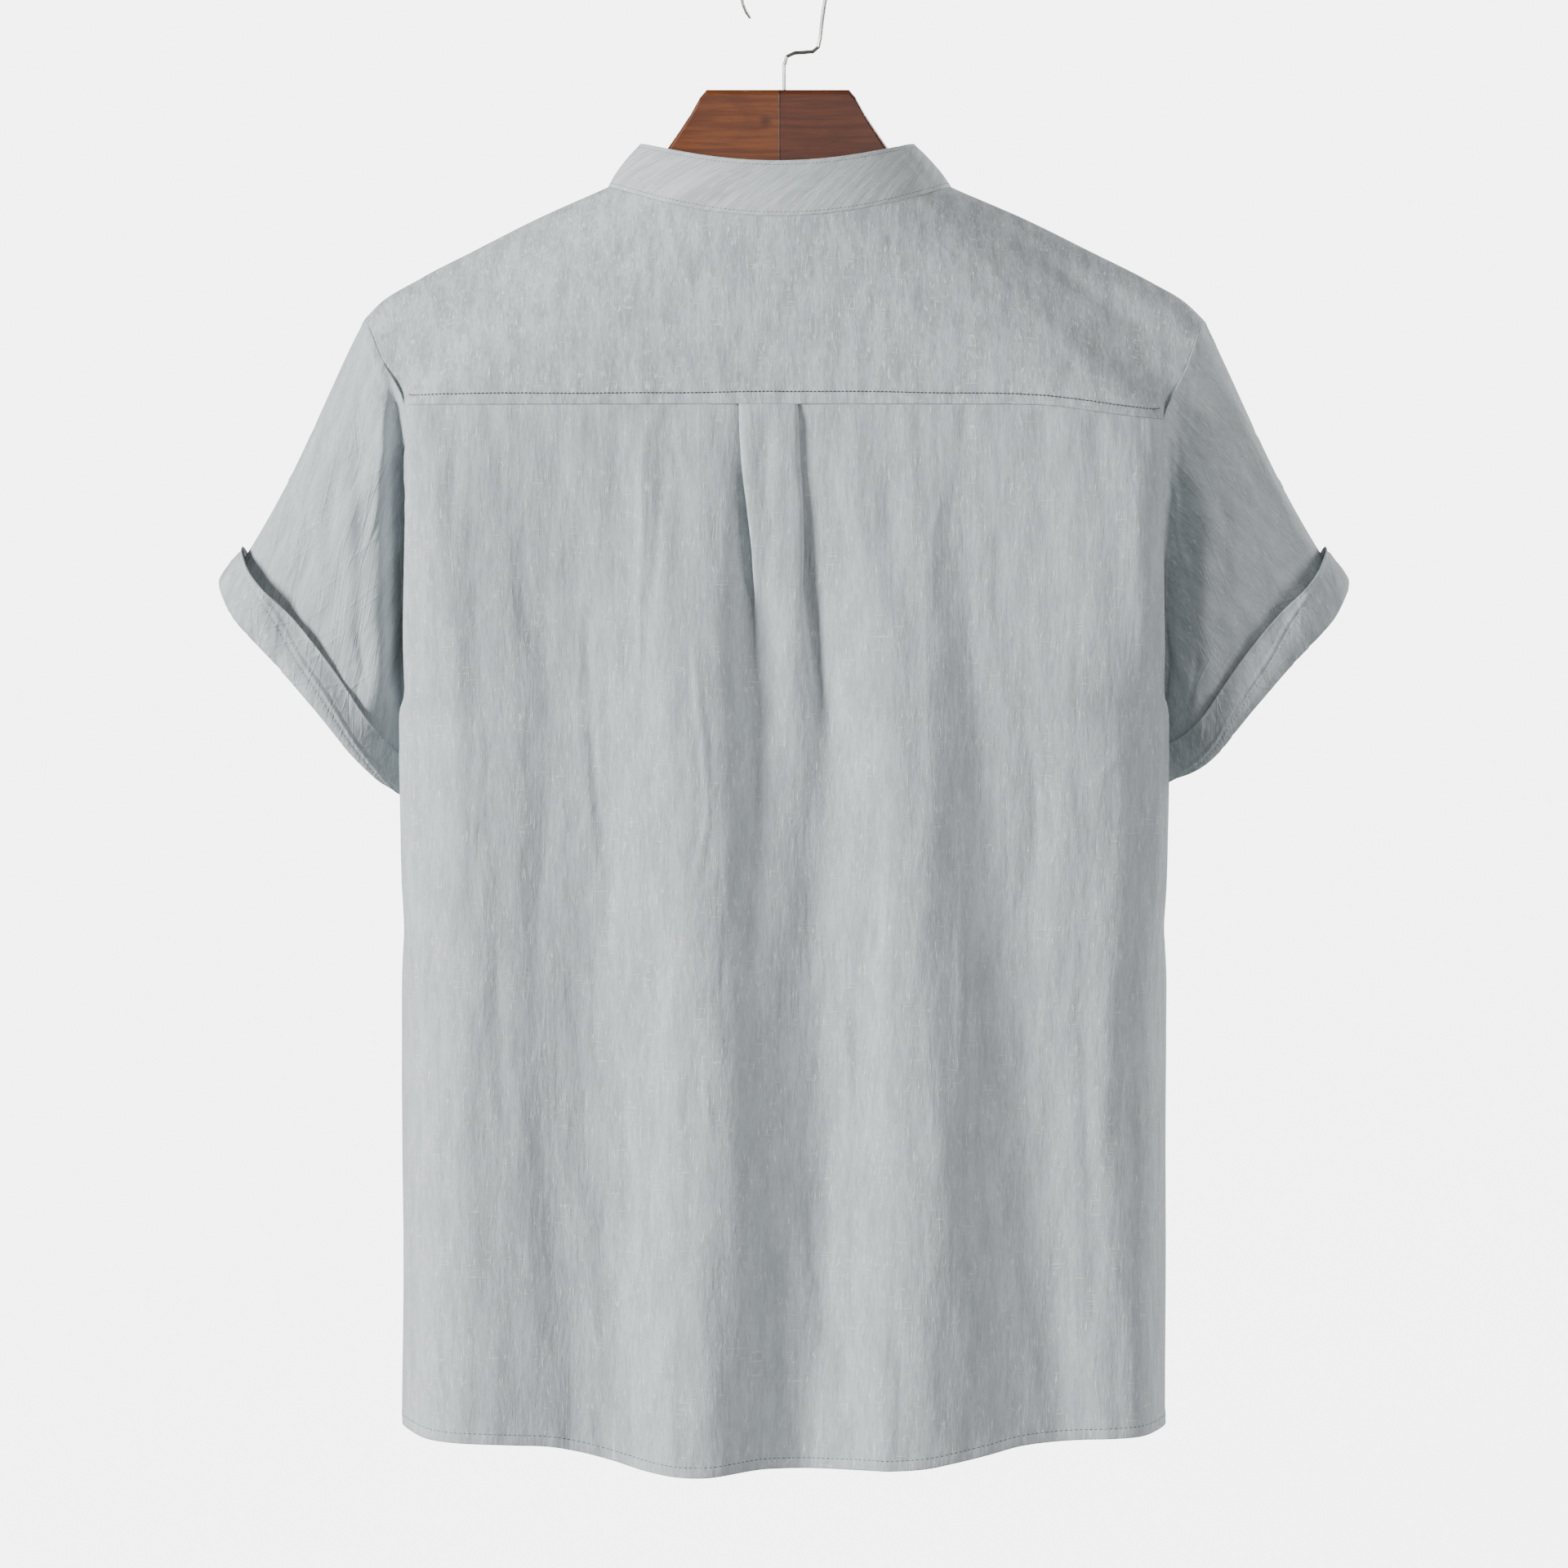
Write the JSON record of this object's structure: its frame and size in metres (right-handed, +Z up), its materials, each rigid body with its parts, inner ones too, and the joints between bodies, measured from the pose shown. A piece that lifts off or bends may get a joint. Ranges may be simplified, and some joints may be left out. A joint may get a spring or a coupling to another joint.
{
  "type": "mandarin collar shirt on a hanger",
  "caption": "Short-sleeved shirt in pale grey slub cotton with a mandarin collar, back yoke, box pleat and turned-up cuffs, on a brown wooden hanger with a wire hook.",
  "frame": {"origin": "inside of the hook's top, where a rail carries it", "axes": "+Z up; the shirt's buttoned front faces -Y and its wearer's left is +X"},
  "size_m": [0.6656, 0.1732, 0.8898],
  "materials": {
    "cloth": "matte slub weave",
    "collar_cloth": "matte, firmer where it is interlined",
    "button": "pearly",
    "wood_left": "stained and satin varnished",
    "wood_right": "stained and satin varnished, darker",
    "wire": "dull nickel"
  },
  "bodies": {
    "root": {"back": "cloth", "yoke": "cloth", "front_left": "cloth", "front_right": "cloth", "placket": "cloth", "button_stand": "cloth", "collar": "collar_cloth", "sleeve_left": "cloth", "sleeve_right": "cloth", "cuff_left": "cloth", "cuff_right": "cloth", "button_1": "button", "button_2": "button", "button_3": "button", "button_4": "button", "button_5": "button", "button_6": "button", "button_7": "button", "hanger_left": "wood_left", "hanger_right": "wood_right", "hook": "wire"}
  },
  "joints": []
}
